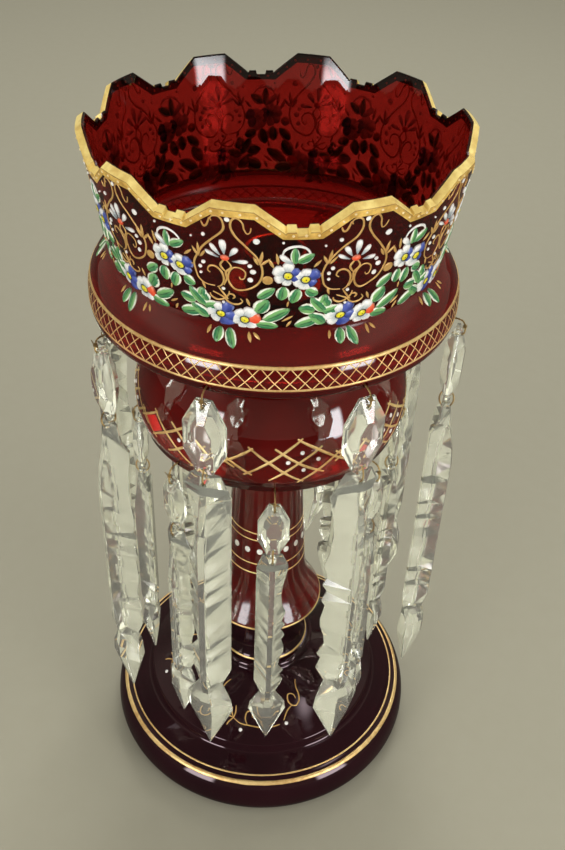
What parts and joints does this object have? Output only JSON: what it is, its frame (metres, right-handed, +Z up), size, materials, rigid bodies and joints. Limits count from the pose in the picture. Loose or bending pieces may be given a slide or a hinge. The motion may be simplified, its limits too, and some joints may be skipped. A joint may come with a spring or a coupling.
{
  "type": "candlestick",
  "caption": "Cut glass mantle lustre: a scalloped bowl for a candle on a stem and domed foot, with rows of crystal prisms that swing from wire hooks.",
  "frame": {"origin": "middle of the ring that the foot stands on, which is the bottom centre of the bounding box", "axes": "+Z up along the stem, -Y towards the picture's viewer, +X to the viewer's right"},
  "size_m": [0.1702, 0.168, 0.35],
  "materials": {
    "ruby_glass": "clear ruby glass, fire polished, with gilt and enamel painting",
    "dark_glass": "nearly black purple glass, polished",
    "crystal": "clear cut crystal",
    "brass": "dull drawn wire and spun sheet"
  },
  "bodies": {
    "root": {"foot": "dark_glass", "pedestal": "ruby_glass", "crown_bowl": "ruby_glass", "candle_socket": "brass", "outer_hook_1": "brass", "outer_hook_2": "brass", "outer_hook_3": "brass", "outer_hook_4": "brass", "outer_hook_5": "brass", "outer_hook_6": "brass", "outer_hook_7": "brass", "outer_hook_8": "brass", "inner_hook_1": "brass", "inner_hook_2": "brass", "inner_hook_3": "brass", "inner_hook_4": "brass", "inner_hook_5": "brass", "inner_hook_6": "brass", "inner_hook_7": "brass", "inner_hook_8": "brass"},
    "outer_bead_body_1": {"outer_bead_1": "crystal", "outer_link_1": "brass"},
    "outer_prism_body_1": {"outer_prism_1": "crystal"},
    "outer_bead_body_2": {"outer_bead_2": "crystal", "outer_link_2": "brass"},
    "outer_prism_body_2": {"outer_prism_2": "crystal"},
    "outer_bead_body_3": {"outer_bead_3": "crystal", "outer_link_3": "brass"},
    "outer_prism_body_3": {"outer_prism_3": "crystal"},
    "outer_bead_body_4": {"outer_bead_4": "crystal", "outer_link_4": "brass"},
    "outer_prism_body_4": {"outer_prism_4": "crystal"},
    "outer_bead_body_5": {"outer_bead_5": "crystal", "outer_link_5": "brass"},
    "outer_prism_body_5": {"outer_prism_5": "crystal"},
    "outer_bead_body_6": {"outer_bead_6": "crystal", "outer_link_6": "brass"},
    "outer_prism_body_6": {"outer_prism_6": "crystal"},
    "outer_bead_body_7": {"outer_bead_7": "crystal", "outer_link_7": "brass"},
    "outer_prism_body_7": {"outer_prism_7": "crystal"},
    "outer_bead_body_8": {"outer_bead_8": "crystal", "outer_link_8": "brass"},
    "outer_prism_body_8": {"outer_prism_8": "crystal"},
    "inner_bead_body_1": {"inner_bead_1": "crystal"},
    "inner_prism_body_1": {"inner_prism_1": "crystal"},
    "inner_bead_body_2": {"inner_bead_2": "crystal"},
    "inner_prism_body_2": {"inner_prism_2": "crystal"},
    "inner_bead_body_3": {"inner_bead_3": "crystal"},
    "inner_prism_body_3": {"inner_prism_3": "crystal"},
    "inner_bead_body_4": {"inner_bead_4": "crystal"},
    "inner_prism_body_4": {"inner_prism_4": "crystal"},
    "inner_bead_body_5": {"inner_bead_5": "crystal"},
    "inner_prism_body_5": {"inner_prism_5": "crystal"},
    "inner_bead_body_6": {"inner_bead_6": "crystal"},
    "inner_prism_body_6": {"inner_prism_6": "crystal"},
    "inner_bead_body_7": {"inner_bead_7": "crystal"},
    "inner_prism_body_7": {"inner_prism_7": "crystal"},
    "inner_bead_body_8": {"inner_bead_8": "crystal"},
    "inner_prism_body_8": {"inner_prism_8": "crystal"}
  },
  "joints": [
    {"name": "outer_bead_swing_1", "type": "hinge", "parent": "root", "child": "outer_bead_body_1", "pos_m": [-0.06676, -0.04335, 0.2685], "axis": [-0.5446, 0.8387, 0], "range_deg": [-3, 18]},
    {"name": "outer_prism_sway_1", "type": "hinge", "parent": "outer_bead_body_1", "child": "outer_prism_body_1", "pos_m": [-0.06676, -0.04335, 0.2307], "axis": [-0.8387, -0.5446, 0], "range_deg": [-10, 10]},
    {"name": "outer_bead_swing_2", "type": "hinge", "parent": "root", "child": "outer_bead_body_2", "pos_m": [-0.02327, -0.07612, 0.2685], "axis": [-0.9563, 0.2924, 0], "range_deg": [-3, 18]},
    {"name": "outer_prism_sway_2", "type": "hinge", "parent": "outer_bead_body_2", "child": "outer_prism_body_2", "pos_m": [-0.02327, -0.07612, 0.2307], "axis": [-0.2924, -0.9563, 0], "range_deg": [-10, 10]},
    {"name": "outer_bead_swing_3", "type": "hinge", "parent": "root", "child": "outer_bead_body_3", "pos_m": [0.03737, -0.07028, 0.2685], "axis": [-0.8829, -0.4695, 0], "range_deg": [-3, 18]},
    {"name": "outer_prism_sway_3", "type": "hinge", "parent": "outer_bead_body_3", "child": "outer_prism_body_3", "pos_m": [0.03737, -0.07028, 0.2307], "axis": [0.4695, -0.8829, 0], "range_deg": [-10, 10]},
    {"name": "outer_bead_swing_4", "type": "hinge", "parent": "root", "child": "outer_bead_body_4", "pos_m": [0.07724, -0.01926, 0.2685], "axis": [-0.2419, -0.9703, 0], "range_deg": [-3, 18]},
    {"name": "outer_prism_sway_4", "type": "hinge", "parent": "outer_bead_body_4", "child": "outer_prism_body_4", "pos_m": [0.07724, -0.01926, 0.2307], "axis": [0.9703, -0.2419, 0], "range_deg": [-10, 10]},
    {"name": "outer_bead_swing_5", "type": "hinge", "parent": "root", "child": "outer_bead_body_5", "pos_m": [0.06823, 0.041, 0.2685], "axis": [0.515, -0.8572, 0], "range_deg": [-3, 18]},
    {"name": "outer_prism_sway_5", "type": "hinge", "parent": "outer_bead_body_5", "child": "outer_prism_body_5", "pos_m": [0.06823, 0.041, 0.2307], "axis": [0.8572, 0.515, 0], "range_deg": [-10, 10]},
    {"name": "outer_bead_swing_6", "type": "hinge", "parent": "root", "child": "outer_bead_body_6", "pos_m": [0.02327, 0.07612, 0.2685], "axis": [0.9563, -0.2924, 0], "range_deg": [-3, 18]},
    {"name": "outer_prism_sway_6", "type": "hinge", "parent": "outer_bead_body_6", "child": "outer_prism_body_6", "pos_m": [0.02327, 0.07612, 0.2307], "axis": [0.2924, 0.9563, 0], "range_deg": [-10, 10]},
    {"name": "outer_bead_swing_7", "type": "hinge", "parent": "root", "child": "outer_bead_body_7", "pos_m": [-0.041, 0.06823, 0.2685], "axis": [0.8572, 0.515, 0], "range_deg": [-3, 18]},
    {"name": "outer_prism_sway_7", "type": "hinge", "parent": "outer_bead_body_7", "child": "outer_prism_body_7", "pos_m": [-0.041, 0.06823, 0.2307], "axis": [-0.515, 0.8572, 0], "range_deg": [-10, 10]},
    {"name": "outer_bead_swing_8", "type": "hinge", "parent": "root", "child": "outer_bead_body_8", "pos_m": [-0.07724, 0.01926, 0.2685], "axis": [0.2419, 0.9703, 0], "range_deg": [-3, 18]},
    {"name": "outer_prism_sway_8", "type": "hinge", "parent": "outer_bead_body_8", "child": "outer_prism_body_8", "pos_m": [-0.07724, 0.01926, 0.2307], "axis": [-0.9703, 0.2419, 0], "range_deg": [-10, 10]},
    {"name": "inner_bead_swing_1", "type": "hinge", "parent": "root", "child": "inner_bead_body_1", "pos_m": [-0.04009, -0.04611, 0.2026], "axis": [-0.7547, 0.6561, 0], "range_deg": [-2, 18]},
    {"name": "inner_prism_sway_1", "type": "hinge", "parent": "inner_bead_body_1", "child": "inner_prism_body_1", "pos_m": [-0.04009, -0.04611, 0.1713], "axis": [-0.6561, -0.7547, 0], "range_deg": [-10, 10]},
    {"name": "inner_bead_swing_2", "type": "hinge", "parent": "root", "child": "inner_bead_body_2", "pos_m": [0.00426, -0.06095, 0.2026], "axis": [-0.9976, -0.0698, 0], "range_deg": [-2, 18]},
    {"name": "inner_prism_sway_2", "type": "hinge", "parent": "inner_bead_body_2", "child": "inner_prism_body_2", "pos_m": [0.00426, -0.06095, 0.1713], "axis": [0.0698, -0.9976, 0], "range_deg": [-10, 10]},
    {"name": "inner_bead_swing_3", "type": "hinge", "parent": "root", "child": "inner_bead_body_3", "pos_m": [0.04748, -0.03845, 0.2026], "axis": [-0.6293, -0.7771, 0], "range_deg": [-2, 18]},
    {"name": "inner_prism_sway_3", "type": "hinge", "parent": "inner_bead_body_3", "child": "inner_prism_body_3", "pos_m": [0.04748, -0.03845, 0.1713], "axis": [0.7771, -0.6293, 0], "range_deg": [-10, 10]},
    {"name": "inner_bead_swing_4", "type": "hinge", "parent": "root", "child": "inner_bead_body_4", "pos_m": [0.06076, 0.00639, 0.2026], "axis": [0.1045, -0.9945, 0], "range_deg": [-2, 18]},
    {"name": "inner_prism_sway_4", "type": "hinge", "parent": "inner_bead_body_4", "child": "inner_prism_body_4", "pos_m": [0.06076, 0.00639, 0.1713], "axis": [0.9945, 0.1045, 0], "range_deg": [-10, 10]},
    {"name": "inner_bead_swing_5", "type": "hinge", "parent": "root", "child": "inner_bead_body_5", "pos_m": [0.03762, 0.04815, 0.2026], "axis": [0.788, -0.6157, 0], "range_deg": [-2, 18]},
    {"name": "inner_prism_sway_5", "type": "hinge", "parent": "inner_bead_body_5", "child": "inner_prism_body_5", "pos_m": [0.03762, 0.04815, 0.1713], "axis": [0.6157, 0.788, 0], "range_deg": [-10, 10]},
    {"name": "inner_bead_swing_6", "type": "hinge", "parent": "root", "child": "inner_bead_body_6", "pos_m": [-0.00745, 0.06064, 0.2026], "axis": [0.9925, 0.1219, 0], "range_deg": [-2, 18]},
    {"name": "inner_prism_sway_6", "type": "hinge", "parent": "inner_bead_body_6", "child": "inner_prism_body_6", "pos_m": [-0.00745, 0.06064, 0.1713], "axis": [-0.1219, 0.9925, 0], "range_deg": [-10, 10]},
    {"name": "inner_bead_swing_7", "type": "hinge", "parent": "root", "child": "inner_bead_body_7", "pos_m": [-0.04815, 0.03762, 0.2026], "axis": [0.6157, 0.788, 0], "range_deg": [-2, 18]},
    {"name": "inner_prism_sway_7", "type": "hinge", "parent": "inner_bead_body_7", "child": "inner_prism_body_7", "pos_m": [-0.04815, 0.03762, 0.1713], "axis": [-0.788, 0.6157, 0], "range_deg": [-10, 10]},
    {"name": "inner_bead_swing_8", "type": "hinge", "parent": "root", "child": "inner_bead_body_8", "pos_m": [-0.06095, -0.00426, 0.2026], "axis": [-0.0698, 0.9976, 0], "range_deg": [-2, 18]},
    {"name": "inner_prism_sway_8", "type": "hinge", "parent": "inner_bead_body_8", "child": "inner_prism_body_8", "pos_m": [-0.06095, -0.00426, 0.1713], "axis": [-0.9976, -0.0698, 0], "range_deg": [-10, 10]}
  ]
}
